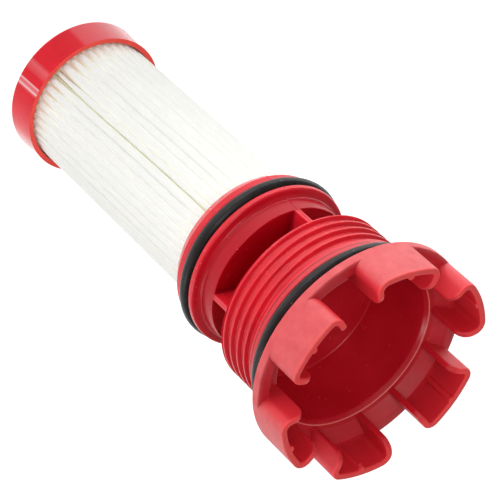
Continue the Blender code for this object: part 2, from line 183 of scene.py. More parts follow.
# end cap
CAP_RADIUS = CAP_HIGH.x
CAP_TOP_Z = CAP_HIGH.z
CAP_BORE = CAP_RADIUS - 1.7 * MM
CAP_FLOOR_Z = 1.8 * MM
CAP_RECESS = 0.35 * MM                     # of the closed end, inside its standing ring
CAP_RIM_BAND = 0.12 * MM                   # height of the matte rim
# painted reflections on the end cap's glossy side, as white stripes listed by azimuth
CAP_REFLECTION_ZERO = math.radians(230.0)
CAP_REFLECTION_RANGE = (math.radians(-90.0), math.radians(90.0))
CAP_REFLECTIONS = (                            # degrees from the zero azimuth above, share of white in the painted reflections
    (-90.0, 0.15), (-76.0, 0.23), (-55.0, 0.12), (-35.0, 0.08), (-31.5, 0.0), (1.0, 0.0), (4.0, 0.12),
    (9.0, 0.05), (11.0, 0.0), (17.0, 0.0), (17.8, 0.7), (18.8, 0.12), (21.0, 0.2), (22.2, 0.75),
    (23.2, 0.1), (25.0, 0.0), (60.0, 0.02), (72.0, 0.14), (90.0, 0.2),
)


# ---- mesh helpers -------------------------------------------------------------------

def new_object(name, mesh, smooth_angle=38.0):
    """An object for a mesh, smooth apart from edges that turn more than smooth_angle."""
    piece = bpy.data.objects.new(name, mesh)
    bpy.context.scene.collection.objects.link(piece)
    mesh.shade_smooth()
    mesh.set_sharp_from_angle(angle=math.radians(smooth_angle))
    return piece


def mesh_from(name, vertices, faces):
    """A closed mesh with its faces pointing out."""
    mesh = bpy.data.meshes.new(name)
    mesh.from_pydata(vertices, [], faces)
    shell = bmesh.new()
    shell.from_mesh(mesh)
    bmesh.ops.recalc_face_normals(shell, faces=shell.faces)
    shell.to_mesh(mesh)
    shell.free()
    return mesh


def polar(radius, azimuth):
    """The x and y of a point at a radius and azimuth."""
    return (radius * math.cos(azimuth), radius * math.sin(azimuth))


def filleted(corners, closed=False):
    """Points of an outline; a corner with a third value gets a fillet of that radius.

    Known fault: the side is right only for turns under 90 degrees. At 90 rounding decides it and
    above 90 it is wrong, so ten fillets here bend the wrong way. The sign of the cross product of
    ahead and back would be right for every turn.
    """
    points = []
    count = len(corners)
    for index, corner in enumerate(corners):
        here = Vector(corner[:2])
        is_end = not closed and index in (0, count - 1)
        if len(corner) < 3 or is_end:
            points.append(tuple(here))
            continue
        back = (Vector(corners[index - 1][:2]) - here).normalized()
        ahead = (Vector(corners[(index + 1) % count][:2]) - here).normalized()
        half = back.angle(ahead) / 2
        centre = here + (back + ahead).normalized() * corner[2] / math.sin(half)
        first = here + back * corner[2] / math.tan(half) - centre
        turn = math.pi - 2 * half
        side = 1.0 if first.x * ahead.y - first.y * ahead.x > 0 else -1.0
        steps = max(2, math.ceil(turn / FILLET_STEP))
        for step in range(steps + 1):
            angle = side * turn * step / steps
            cosine, sine = math.cos(angle), math.sin(angle)
            offset = Vector((first.x * cosine - first.y * sine, first.x * sine + first.y * cosine))
            points.append(tuple(centre + offset))
    return points


def turned(name, profile, azimuths, shape=None, closed=True):
    """A (radius, height) profile turned about Z; an open one starts and ends on the axis.

    shape(radius, azimuth, height) may return another radius for each point.
    """
    columns = len(azimuths)
    vertices = []
    rings = []
    for radius, height in profile:
        if radius == 0.0:
            rings.append([len(vertices)] * columns)
            vertices.append((0.0, 0.0, height))
            continue
        first = len(vertices)
        for azimuth in azimuths:
            here = shape(radius, azimuth, height) if shape else radius
            vertices.append((*polar(here, azimuth), height))
        rings.append(list(range(first, first + columns)))
    faces = []
    pairs = list(zip(rings, rings[1:]))
    if closed:
        pairs.append((rings[-1], rings[0]))
    for upper, lower in pairs:
        for column in range(columns):
            following = (column + 1) % columns
            corners = [upper[column], lower[column], lower[following], upper[following]]
            faces.append(list(dict.fromkeys(corners)))
    return mesh_from(name, vertices, faces)


def even_azimuths(columns=COLUMNS):
    """Azimuths all the way round in equal steps."""
    return [TAU * column / columns for column in range(columns)]


def parting_azimuths(radius, columns=COLUMNS):
    """Even azimuths with extra ones at both mould parting lines."""
    fine = PARTING_HALF_WIDTH / radius
    azimuths = [a for a in even_azimuths(columns)
                if all(abs(math.remainder(a - line, TAU)) > 3 * fine for line in PARTING_AZIMUTHS)]
    for line in PARTING_AZIMUTHS:
        azimuths += [(line + step * fine) % TAU for step in (-1.6, -0.8, 0.0, 0.8, 1.6)]
    return sorted(azimuths)


def parting_ridge(radius, azimuth, height):
    """Adds the mould's thin raised parting line to an outer radius."""
    for line in PARTING_AZIMUTHS:
        across = radius * math.remainder(azimuth - line, TAU) / PARTING_HALF_WIDTH
        radius += PARTING_HEIGHT * math.exp(-across * across)
    return radius


def prism(name, outline, bottom_z, top_z):
    """A closed outline of (x, y) points between two heights."""
    count = len(outline)
    vertices = [(x, y, bottom_z) for x, y in outline] + [(x, y, top_z) for x, y in outline]
    faces = [list(range(count)), list(range(count, 2 * count))]
    for index in range(count):
        following = (index + 1) % count
        faces.append([index, following, count + following, count + index])
    return mesh_from(name, vertices, faces)


def united(piece, *others):
    """Joins other closed objects to a piece and removes them."""
    for other in others:
        step = piece.modifiers.new(other.name, 'BOOLEAN')
        step.operation = 'UNION'
        step.solver = 'EXACT'
        step.object = other
    bpy.context.view_layer.update()
    graph = bpy.context.evaluated_depsgraph_get()
    mesh = bpy.data.meshes.new_from_object(piece.evaluated_get(graph), depsgraph=graph)
    mesh.name = piece.name
    name = piece.name
    for item in (piece, *others):
        bpy.data.objects.remove(item, do_unlink=True)
    return new_object(name, mesh)


# ---- head moulding ------------------------------------------------------------------

def thread_groove(azimuth, height):
    """Depth below the narrow crests of the right-hand thread, which runs out at the top."""
    turns = (azimuth - THREAD_CREST_AZIMUTH) / TAU
    phase = (height - THREAD_CREST_Z) / THREAD_PITCH - turns
    flank = (abs(phase - round(phase)) - THREAD_CREST_SHARE) / THREAD_FLANK_SHARE
    flank = min(1.0, max(0.0, flank))
    valley = flank * flank * (3 - 2 * flank)
    room = (THREAD_TOP_Z - height) / (0.5 * THREAD_PITCH)
    run_out = min(1.0, max(0.0, room))
    return THREAD_DEPTH * run_out * valley


def cup_shape(radius, azimuth, height):
    """The cup's radius with the thread cut into its wall."""
    in_thread = THREAD_BOTTOM_Z < height < THREAD_TOP_Z
    if in_thread and radius > THREAD_RADIUS - 0.001 * MM:
        return radius - thread_groove(azimuth, height)
    return radius


def cup_mesh():
    """Cup, threaded wall, O-ring seat, boss and rim in one turned shape."""
    seat_radius = (FLANGE_RING_HIGH.x - O_RING_RADIUS) - O_RING_RADIUS - SEAT_GAP
    under = THREAD_BOTTOM_Z - 0.4 * MM
    inside = filleted([
        (0.0, CUP_FLOOR_Z),
        (CUP_FLOOR_RADIUS, CUP_FLOOR_Z, 0.5 * MM),
        (CUP_TOP_RADIUS, SHELF_Z - 1.4 * MM, 1.5 * MM),
        (CUP_MOUTH_RADIUS, SHELF_Z, 0.18 * MM),
        (SHELF_RADIUS, SHELF_Z + 0.1 * MM, 0.5 * MM),
        (RING_INNER_RADIUS, RIM_TOP_Z, 0.3 * MM),
        (RIM_RADIUS, RIM_TOP_Z, 0.45 * MM),
        (RIM_RADIUS, SEAT_Z, 0.3 * MM),
        (BOSS_RADIUS, SEAT_Z, 1.2 * MM),
        (BOSS_RADIUS, BOSS_Z, 0.2 * MM),
        (seat_radius, BOSS_Z, 0.3 * MM),
        (seat_radius, LAND_Z, 0.3 * MM),
        (THREAD_RADIUS, LAND_Z, 0.35 * MM),
        (THREAD_RADIUS, THREAD_TOP_Z),
    ])
    rows = round((THREAD_TOP_Z - THREAD_BOTTOM_Z) / THREAD_PITCH * THREAD_ROWS_PER_PITCH)
    step = (THREAD_TOP_Z - THREAD_BOTTOM_Z) / rows
    threaded = [(THREAD_RADIUS, THREAD_TOP_Z - step * row) for row in range(1, rows + 1)]
    bottom = [(THREAD_RADIUS - 2.2 * MM, under), (0.0, under)]
    return turned("cup", inside + threaded + bottom, even_azimuths(), cup_shape, closed=False)


def lug_path():
    """Middle line of a lug's C-shaped wall: rows of (x, y, normal x, normal y, length)."""
    half_wall = LUG_WALL / 2
    corner = LUG_CORNER_RADIUS - half_wall
    arc_radius = LUG_RADIUS - half_wall
    along = Vector(polar(1.0, LUG_HALF_ANGLE))
    across = Vector((-along.y, along.x))
    offset = half_wall + corner
    reach = math.sqrt((arc_radius - corner) ** 2 - offset ** 2)
    centre = along * reach - across * offset
    centre_azimuth = math.atan2(centre.y, centre.x)

    side_length = reach - LUG_FOOT_RADIUS
    starts = [0.0, 0.06, 0.2, 0.4, 0.65, 1.0]
    stations = [LUG_EDGE * share for share in starts]
    stations += list(np.linspace(LUG_EDGE, LUG_TIP_RADIUS, 9)[1:])
    stations += list(np.linspace(LUG_TIP_RADIUS, side_length, 5)[1:])
    half = [(along * (LUG_FOOT_RADIUS + s) - across * half_wall, across.copy()) for s in stations]
    side_azimuth = LUG_HALF_ANGLE + math.pi / 2
    for angle in np.linspace(side_azimuth, centre_azimuth, 10)[1:]:
        normal = Vector(polar(1.0, angle))
        half.append((centre + normal * corner, normal))
    for angle in np.linspace(centre_azimuth, 0.0, 12)[1:]:
        normal = Vector(polar(1.0, angle))
        half.append((normal * arc_radius, normal))
    mirrored = [(Vector((p.x, -p.y)), Vector((n.x, -n.y))) for p, n in reversed(half[:-1])]
    path = half + mirrored
    lengths = [0.0]
    for (p, _), (q, _) in zip(path, path[1:]):
        lengths.append(lengths[-1] + (q - p).length)
    return [(p, n, s) for (p, n), s in zip(path, lengths)]


def lug_foot(radius):
    """Height of a lug's hidden lower edge: lower on the shelf than inside the rim."""
    share = min(1.0, max(0.0, (radius - LUG_STEP_RADIUS) / MM))
    return LUG_SIDE_FOOT_Z + share * (LUG_FOOT_Z - LUG_SIDE_FOOT_Z)


def lugs_mesh():
    """Six C-shaped grip lugs with rounded tips and rounded rims."""
    path = lug_path()
    total = path[-1][2]
    half_wall = LUG_WALL / 2
    rim_shares = [1.0, 0.65, 0.4, 0.2, 0.06, 0.0]
    vertices = []
    faces = []
    for lug in range(LUG_COUNT):
        turn = Matrix.Rotation(TAU * lug / LUG_COUNT, 2)
        first = len(vertices)
        rows = 0
        for point, normal, length in path:
            end = min(length, total - length)
            drop = 0.0
            if end < LUG_TIP_RADIUS:
                drop = LUG_TIP_RADIUS - math.sqrt(LUG_TIP_RADIUS ** 2 - (LUG_TIP_RADIUS - end) ** 2)
            top = TIP_Z - drop
            foot = lug_foot(point.length)
            heights = list(np.linspace(foot, top - LUG_EDGE, 9)[:-1])
            heights += [top - LUG_EDGE * share for share in rim_shares]
            rows = len(heights)
            for height in heights:
                inside = min(end, top - height)
                if end < LUG_TIP_RADIUS and height > TIP_Z - LUG_TIP_RADIUS:
                    from_centre = math.hypot(LUG_TIP_RADIUS - end, height - TIP_Z + LUG_TIP_RADIUS)
                    inside = LUG_TIP_RADIUS - from_centre
                inside = min(max(inside, 0.0), LUG_EDGE)
                rounding = LUG_EDGE - math.sqrt(LUG_EDGE ** 2 - (LUG_EDGE - inside) ** 2)
                for side in (1.0, -1.0):
                    spot = turn @ (point + normal * side * (half_wall - rounding))
                    vertices.append((spot.x, spot.y, height))
        columns = len(path)

        def at(column, row, side):
            return first + (column * rows + row) * 2 + side

        for column in range(columns - 1):
            for row in range(rows - 1):
                for side in (0, 1):
                    faces.append([at(column, row, side), at(column + 1, row, side),
                                  at(column + 1, row + 1, side), at(column, row + 1, side)])
            for row in (0, rows - 1):
                faces.append([at(column, row, 0), at(column + 1, row, 0),
                              at(column + 1, row, 1), at(column, row, 1)])
        for column in (0, columns - 1):
            for row in range(rows - 1):
                faces.append([at(column, row, 0), at(column, row + 1, 0),
                              at(column, row + 1, 1), at(column, row, 1)])
    return mesh_from("lugs", vertices, faces)


def lug_ribs_mesh():
    """The low rib up the middle of each lug's inner face, with a small round nub at the tip."""
    shell = bmesh.new()
    for radius, offset, foot_z in ((LUG_RIB_RADIUS, LUG_RIB_OFFSET, LUG_FOOT_Z + MM),
                                   (LUG_NUB_RADIUS, LUG_NUB_OFFSET, TIP_Z - LUG_NUB_LENGTH)):
        profile = filleted([(0.0, TIP_Z), (radius, TIP_Z, 0.25 * MM), (radius, foot_z), (0.0, foot_z)])
        rib = turned("lug_rib", profile, even_azimuths(24), closed=False)
        for lug in range(LUG_COUNT):
            first = len(shell.verts)
            shell.from_mesh(rib)
            shell.verts.ensure_lookup_table()
            place = (*polar(LUG_RADIUS - LUG_WALL - offset, TAU * lug / LUG_COUNT), 0.0)
            bmesh.ops.translate(shell, verts=shell.verts[first:], vec=place)
    mesh = bpy.data.meshes.new("lug_ribs")
    shell.to_mesh(mesh)
    shell.free()
    return mesh


def neck_mesh():
    """Neck tube with its deck and two lips, the O-ring groove and the well for the pleats."""
    ring_middle = NECK_RING_HIGH.x - O_RING_RADIUS
    groove = ring_middle - O_RING_RADIUS - SEAT_GAP
    profile = filleted([
        (NECK_TUBE_RADIUS - 0.1 * MM, NECK_TOP_Z, 0.3 * MM),
        (NECK_TUBE_RADIUS + 0.1 * MM, NECK_VALLEY_Z, 1.2 * MM),
        (NECK_LIP_RADIUS, NECK_LIP_TOP_Z, 0.7 * MM),
        (NECK_LIP_RADIUS, NECK_LIP_Z, 0.2 * MM),
        (groove, NECK_LIP_Z, 0.3 * MM),
        (groove, NECK_LOWER_LIP_Z, 0.3 * MM),
        (NECK_LOWER_LIP_RADIUS, NECK_LOWER_LIP_Z, 0.2 * MM),
        (NECK_LOWER_LIP_RADIUS, NECK_SHOULDER_Z, 0.5 * MM),
        (NECK_END_RADIUS, NECK_END_Z, 0.3 * MM),
        (NECK_WELL_RADIUS, NECK_END_Z, 0.2 * MM),
        (NECK_WELL_RADIUS, NECK_WELL_Z, 0.3 * MM),
        (NECK_CAVITY_RADIUS, NECK_WELL_Z, 0.3 * MM),
        (NECK_CAVITY_RADIUS, NECK_DECK_Z - NECK_DECK_THICKNESS, 0.8 * MM),
        (NECK_HOLE_RADIUS, NECK_DECK_Z - NECK_DECK_THICKNESS, 0.3 * MM),
        (NECK_HOLE_RADIUS, NECK_DECK_Z, 0.3 * MM),
        (NECK_RIM_BORE - 0.1 * MM, NECK_DECK_Z, 0.4 * MM),
        (NECK_RIM_BORE, NECK_TOP_Z, 0.15 * MM),
    ], closed=True)

    def shape(radius, azimuth, height):
        return parting_ridge(radius, azimuth, height) if radius > NECK_END_RADIUS - MM / 2 else radius

    return turned("neck", profile, parting_azimuths(NECK_LIP_RADIUS), shape)


def webs_mesh():
    """A cross of four webs between the neck and the cup."""
    end = WEB_HALF - WEB_DRAFT
    outline = []
    for index in range(4):
        corners = [(WEB_RADIUS, -end, 0.2 * MM)]
        if index % 2 == 0:
            corners += [(WEB_RADIUS, -PARTING_HALF_WIDTH), (WEB_RADIUS + PARTING_HEIGHT, 0.0),
                        (WEB_RADIUS, PARTING_HALF_WIDTH)]
        corners += [(WEB_RADIUS, end, 0.2 * MM), (WEB_HALF, WEB_HALF, 0.8 * MM)]
        azimuth = index * TAU / 4
        for x, y, *fillet in corners:
            outline.append((x * math.cos(azimuth) - y * math.sin(azimuth),
                            x * math.sin(azimuth) + y * math.cos(azimuth), *fillet))
    bottom_z, top_z = NECK_DECK_Z - 0.6 * MM, THREAD_BOTTOM_Z + 0.2 * MM
    return prism("webs", filleted(outline, closed=True), bottom_z, top_z)


def build_head():
    """The whole head moulding, joined into one closed shell."""
    cup = new_object("head_moulding_fine", cup_mesh())
    others = [new_object("lugs", lugs_mesh()), new_object("lug_ribs", lug_ribs_mesh())]
    others += [new_object("neck", neck_mesh()), new_object("webs", webs_mesh())]
    head = united(cup, *others)
    keep_flat = head.modifiers.new("flat faces stay flat", 'WEIGHTED_NORMAL')
    keep_flat.keep_sharp = True
    return head


# ---- O-rings ------------------------------------------------------------------------

def o_ring(name, low, high, lean, lean_azimuth, wave):
    """A round-section ring that sits slightly askew and slightly wavy in its groove."""
    middle = high.x - O_RING_RADIUS
    height = (low.z + high.z) / 2
    vertices = []
    for azimuth in even_azimuths(O_RING_COLUMNS):
        rise = lean * math.cos(azimuth - lean_azimuth)
        rise += wave * math.sin(3 * azimuth + 0.7) + 0.6 * wave * math.sin(5 * azimuth + 2.1)
        for step in range(O_RING_STEPS):
            across, up = polar(O_RING_RADIUS, TAU * step / O_RING_STEPS)
            vertices.append((*polar(middle + across, azimuth), height + rise + up))
    faces = []
    for column in range(O_RING_COLUMNS):
        here = column * O_RING_STEPS
        following = (column + 1) % O_RING_COLUMNS * O_RING_STEPS
        for step in range(O_RING_STEPS):
            after = (step + 1) % O_RING_STEPS
            faces.append([here + step, following + step, following + after, here + after])
    return new_object(name, mesh_from(name, vertices, faces))


# ---- pleated medium -----------------------------------------------------------------

def pleat_fullness(height):
    """How far the pleats have spread to meet: not at all in the cap's adhesive, fully between."""
    share = (height - MEDIUM_LOW.z) / (MEDIUM_HIGH.z - MEDIUM_LOW.z)
    from_cap = min(1.0, max(0.0, (share - PLEATS_MEET[0]) / PLEATS_MEET[1]))
    from_neck = min(1.0, max(0.0, (PLEATS_PART[0] - share) / PLEATS_PART[1]))
    ease = from_cap * from_cap * (3 - 2 * from_cap)
    return ease * (NECK_FULLNESS + (1 - NECK_FULLNESS) * from_neck)


def pleat_habits():
    """Each fold's own offset, gap and waviness: the seam's pleat is narrow and its fold open."""
    habit = random.Random(PLEATS)
    habits = []
    for pleat in range(PLEATS):
        habits.append({
            "offset": habit.uniform(-FOLD_OFFSET, FOLD_OFFSET),
            "gap": habit.uniform(*FOLD_GAPS) * MM,
            "sway": math.radians(habit.uniform(*FOLD_SWAYS)),
            "phase": habit.uniform(0.0, TAU),
            "reach": habit.uniform(0.0, TIP_REACH) * MM,
        })
    habits[0].update(offset=0.0, gap=SEAM_GAP)
    habits[-1].update(offset=SEAM_NEXT_OFFSET, gap=SEAM_NEXT_GAP)
    return habits


def fold_azimuth(index, height, habit):
    """Where a fold lies at a height: its own place, the pack's twist and its sway."""
    share = (height - MEDIUM_LOW.z) / (MEDIUM_HIGH.z - MEDIUM_LOW.z)
    twist = SEAM_TWIST * (0.3 - share)
    sway = habit["sway"] * math.sin(TAU * share * FOLD_SWAY_TURNS + habit["phase"])
    return SEAM_AZIMUTH + index * TAU / PLEATS + habit["offset"] + twist + sway


def pleat_outlines(height, habits):
    """Outer and inner outline of the folded sheet at one height."""
    apart = 1.0 - pleat_fullness(height)
    opening = apart * PLEAT_OPENING
    outer = []
    inner = []
    for pleat in range(PLEATS):
        before, after = habits[pleat], habits[(pleat + 1) % PLEATS]
        left = fold_azimuth(pleat, height, before) * PLEAT_TIP_RADIUS + (before["gap"] + opening) / 2
        fold = fold_azimuth(pleat + 1, height, after)
        right = fold * PLEAT_TIP_RADIUS - (after["gap"] + opening) / 2
        tip = (left + right) / 2 / PLEAT_TIP_RADIUS
        half_width = (right - left) / 2
        bulge = (PLEAT_ROUNDNESS + PLEAT_ROUNDNESS_APART * apart) * half_width
        radius = PLEAT_TIP_RADIUS - before["reach"] - bulge
        across = Vector((-math.sin(tip), math.cos(tip)))
        along = Vector(polar(1.0, tip))
        for angle in np.linspace(-math.pi / 2, math.pi / 2, 11):
            up, sideways = math.cos(angle), math.sin(angle)
            outer.append(along * (radius + up * bulge) + across * sideways * half_width)
            thin, narrow = bulge - PLEAT_SHEET, half_width - PLEAT_SHEET
            inner.append(along * (radius + up * thin) + across * sideways * narrow)
        centre = Vector(polar(PLEAT_FOLD_RADIUS + PLEAT_SHEET + FOLD_BEND, fold))
        for angle in np.linspace(-math.pi / 2, -3 * math.pi / 2, 5):
            outer.append(centre + Vector(polar(FOLD_BEND, fold + angle)))
            inner.append(centre + Vector(polar(FOLD_BEND + PLEAT_SHEET, fold + angle)))
    return outer, inner


def build_medium():
    """The folded sheet, stacked from its outlines at even heights."""
    habits = pleat_habits()
    heights = np.linspace(MEDIUM_LOW.z, MEDIUM_HIGH.z, MEDIUM_ROWS)
    vertices = []
    for height in heights:
        for outline in pleat_outlines(height, habits):
            vertices += [(point.x, point.y, height) for point in outline]
    count = len(vertices) // (2 * len(heights))
    faces = []
    for index in range(count):
        following = (index + 1) % count
        for row in range(len(heights) - 1):
            low = 2 * count * row
            high = low + 2 * count
            faces.append([low + index, low + following, high + following, high + index])
            faces.append([low + count + following, low + count + index,
                          high + count + index, high + count + following])
        for first in (0, 2 * count * (len(heights) - 1)):
            faces.append([first + index, first + count + index,
                          first + count + following, first + following])
    return new_object("pleated_medium_fine", mesh_from("pleated_medium_fine", vertices, faces), 60.0)


def build_seam_bead():
    """The bead of adhesive that lies in the seam's fold, a little uneven along its length."""
    heights = np.linspace(MEDIUM_LOW.z, MEDIUM_HIGH.z, BEAD_ROWS)
    habit = pleat_habits()[0]
    vertices = []
    for height in heights:
        azimuth = fold_azimuth(0, height, habit)
        uneven = 0.12 * math.sin(height / (1.9 * MM)) + 0.1 * math.sin(height / (0.83 * MM) + 1.0)
        along = Vector(polar(1.0, azimuth))
        across = Vector((-along.y, along.x))
        for side in range(BEAD_SIDES):
            outwards, sideways = polar(1.0, TAU * side / BEAD_SIDES)
            radius = BEAD_RADIUS + BEAD_DEPTH / 2 * outwards * (1 + 0.2 * uneven)
            spot = along * radius + across * sideways * BEAD_WIDTH / 2 * (1 + uneven)
            vertices.append((spot.x, spot.y, height))
    faces = [list(range(BEAD_SIDES)), list(range(len(vertices) - BEAD_SIDES, len(vertices)))]
    for row in range(BEAD_ROWS - 1):
        here = row * BEAD_SIDES
        above = here + BEAD_SIDES
        for side in range(BEAD_SIDES):
            after = (side + 1) % BEAD_SIDES
            faces.append([here + side, here + after, above + after, above + side])
    return new_object("seam_bead_fine", mesh_from("seam_bead_fine", vertices, faces), 60.0)


# ---- end cap ------------------------------------------------------------------------

def build_end_cap(gloss, matte):
    """The closed cup on the element's end: glossy outside, with a plain matte rim."""
    profile = filleted([
        (0.0, CAP_FLOOR_Z),
        (CAP_BORE, CAP_FLOOR_Z, 0.4 * MM),
        (CAP_BORE, CAP_TOP_Z, 0.2 * MM),
        (CAP_RADIUS, CAP_TOP_Z, 0.3 * MM),
        (CAP_RADIUS - 0.1 * MM, 0.0, 0.7 * MM),
        (CAP_RADIUS - 2.6 * MM, 0.0),
        (CAP_RADIUS - 3.2 * MM, CAP_RECESS, 0.3 * MM),
        (CAP_RADIUS - 5.0 * MM, CAP_RECESS),
        (0.0, CAP_RECESS),
    ])
    cap = new_object("end_cap_fine", turned("end_cap_fine", profile, even_azimuths(), closed=False))
    cap.data.materials.append(gloss)
    cap.data.materials.append(matte)
    for face in cap.data.polygons:
        on_rim = face.center.z > CAP_TOP_Z - CAP_RIM_BAND
        face.material_index = 1 if on_rim else 0
    return cap


# ---- materials ----------------------------------------------------------------------

# painted glow: emission that stands in for light through the thin sheet in its folds
FOLD_GLOW = 0.30                           # light that the thin sheet lets through in its folds
# painted glow: emission that stands in for red light through the lugs
LUG_GLOW = 0.09                            # red light that the thin lugs let through near their tips


class Shader:
    """A node material under construction: every piece's colour, roughness and bump."""

    def __init__(self, name):
        self.material = bpy.data.materials.new(name)
        self.material.use_nodes = True
        self.tree = self.material.node_tree
        self.principled = self.tree.nodes["Principled BSDF"]
        self.place = self.tree.nodes.new("ShaderNodeTexCoord").outputs["Object"]

    def link(self, source, target):
        self.tree.links.new(source, target)

    def noise(self, size, detail=2.0, stretch=(1.0, 1.0, 1.0)):
        """Noise with features of about the given size in metres, from 0 to 1."""
        mapping = self.tree.nodes.new("ShaderNodeMapping")
        mapping.inputs["Scale"].default_value = stretch
        self.link(self.place, mapping.inputs["Vector"])
        node = self.tree.nodes.new("ShaderNodeTexNoise")
        node.inputs["Scale"].default_value = 1.0 / size
        node.inputs["Detail"].default_value = detail
        self.link(mapping.outputs["Vector"], node.inputs["Vector"])
        return node.outputs["Fac"]

    def ranged(self, value, low, high, from_low=0.3, from_high=0.7):
        """The value mapped from one range to another; noise mostly lies in the default range."""
        node = self.tree.nodes.new("ShaderNodeMapRange")
        node.inputs["From Min"].default_value = from_low
        node.inputs["From Max"].default_value = from_high
        node.inputs["To Min"].default_value = low
        node.inputs["To Max"].default_value = high
        self.link(value, node.inputs["Value"])
        return node.outputs["Result"]

    def band(self, value, middle, width):
        """1 where the value is at the middle, fading to 0 at a width on either side."""
        below = self.ranged(value, 0.0, 1.0, middle - width, middle)
        return self.math('MULTIPLY', below, self.ranged(value, 1.0, 0.0, middle, middle + width))

    def height(self):
        """Height above the end cap's flat bottom."""
        split = self.tree.nodes.new("ShaderNodeSeparateXYZ")
        self.link(self.place, split.inputs["Vector"])
        return split.outputs["Z"]

    def radius(self):
        """Distance from the cartridge's axis."""
        flat = self.tree.nodes.new("ShaderNodeVectorMath")
        flat.operation = 'MULTIPLY'
        flat.inputs[1].default_value = (1.0, 1.0, 0.0)
        self.link(self.place, flat.inputs[0])
        length = self.tree.nodes.new("ShaderNodeVectorMath")
        length.operation = 'LENGTH'
        self.link(flat.outputs["Vector"], length.inputs[0])
        return length.outputs["Value"]

    def azimuth(self):
        """Angle round the axis, from -pi to pi on either side of the azimuth CAP_REFLECTION_ZERO."""
        split = self.tree.nodes.new("ShaderNodeSeparateXYZ")
        turn = self.tree.nodes.new("ShaderNodeVectorRotate")
        turn.rotation_type = 'Z_AXIS'
        turn.inputs["Angle"].default_value = -CAP_REFLECTION_ZERO
        self.link(self.place, turn.inputs["Vector"])
        self.link(turn.outputs["Vector"], split.inputs["Vector"])
        return self.math('ARCTAN2', split.outputs["Y"], split.outputs["X"])

    def math(self, operation, first, second):
        """One step of arithmetic on two values, which may be sockets or plain numbers."""
        node = self.tree.nodes.new("ShaderNodeMath")
        node.operation = operation
        for socket, value in zip(node.inputs, (first, second)):
            if isinstance(value, float):
                socket.default_value = value
            else:
                self.link(value, socket)
        return node.outputs[0]

    def mixed(self, share, first, second):
        """A colour between two others, which may be sockets or plain colours."""
        node = self.tree.nodes.new("ShaderNodeMix")
        node.data_type = 'RGBA'
        sockets = [s for s in node.inputs if s.type == 'RGBA']
        for socket, colour in zip(sockets, (first, second)):
            if isinstance(colour, tuple):
                socket.default_value = (*colour, 1.0)
            else:
                self.link(colour, socket)
        factor = next(s for s in node.inputs if s.name == "Factor" and s.type == 'VALUE')
        self.link(share, factor)
        return next(s for s in node.outputs if s.type == 'RGBA')

    def specks(self, spacing, size, share):
        """1 inside sparse round specks and 0 elsewhere."""
        node = self.tree.nodes.new("ShaderNodeTexVoronoi")
        node.inputs["Scale"].default_value = 1.0 / spacing
        self.link(self.place, node.inputs["Vector"])
        near = self.math('LESS_THAN', node.outputs["Distance"], size / spacing)
        split = self.tree.nodes.new("ShaderNodeSeparateColor")
        self.link(node.outputs["Color"], split.inputs["Color"])
        chosen = self.math('LESS_THAN', split.outputs["Red"], share)
        return self.math('MULTIPLY', near, chosen)

    def bump(self, value, height):
        """Bump of the given height in metres, on top of any earlier one."""
        node = self.tree.nodes.new("ShaderNodeBump")
        node.inputs["Distance"].default_value = height
        node.inputs["Strength"].default_value = 1.0
        self.link(value, node.inputs["Height"])
        earlier = self.principled.inputs["Normal"].links
        if earlier:
            self.link(earlier[0].from_socket, node.inputs["Normal"])
        self.link(node.outputs["Normal"], self.principled.inputs["Normal"])

    def finish(self, colour, roughness, values=None):
        """Connects colour and roughness and sets the Principled shader's plain values."""
        for socket, value in (("Base Color", colour), ("Roughness", roughness)):
            self.link(value, self.principled.inputs[socket])
        for name, value in (values or {}).items():
            self.principled.inputs[name].default_value = value
        return self.material


